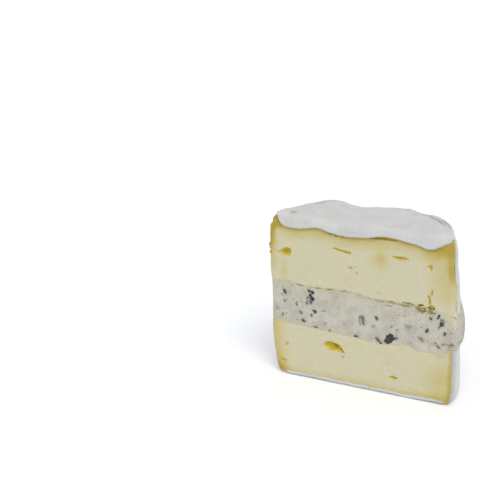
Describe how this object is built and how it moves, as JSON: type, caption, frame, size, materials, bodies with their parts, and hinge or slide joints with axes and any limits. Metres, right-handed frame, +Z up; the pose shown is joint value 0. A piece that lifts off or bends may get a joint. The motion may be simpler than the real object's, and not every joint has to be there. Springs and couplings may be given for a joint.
{
  "type": "half of a filled camembert",
  "caption": "Half of a round soft-ripened cheese cut across its diameter, with a truffle cream layer between two wheels and white rind hanging over the cut.",
  "frame": {"origin": "centre of the footprint of the whole half, on the surface it stands on", "axes": "+Z up, -Y out of the cut face, +X to the right of someone who looks at the cut face"},
  "size_m": [0.1112, 0.0572, 0.091],
  "materials": {
    "lower_paste": "pale ivory cheese paste, satin and slightly moist, with a thin white mould rind on its outside",
    "truffle_cream": "greyish cream cheese with chopped black truffle, matt",
    "upper_paste": "ivory to straw-yellow ripe cheese paste, satin and slightly moist, under a velvety white mould rind"
  },
  "bodies": {
    "root": {"lower_cheese": "lower_paste", "truffle_filling": "truffle_cream", "upper_cheese": "upper_paste"}
  },
  "joints": []
}
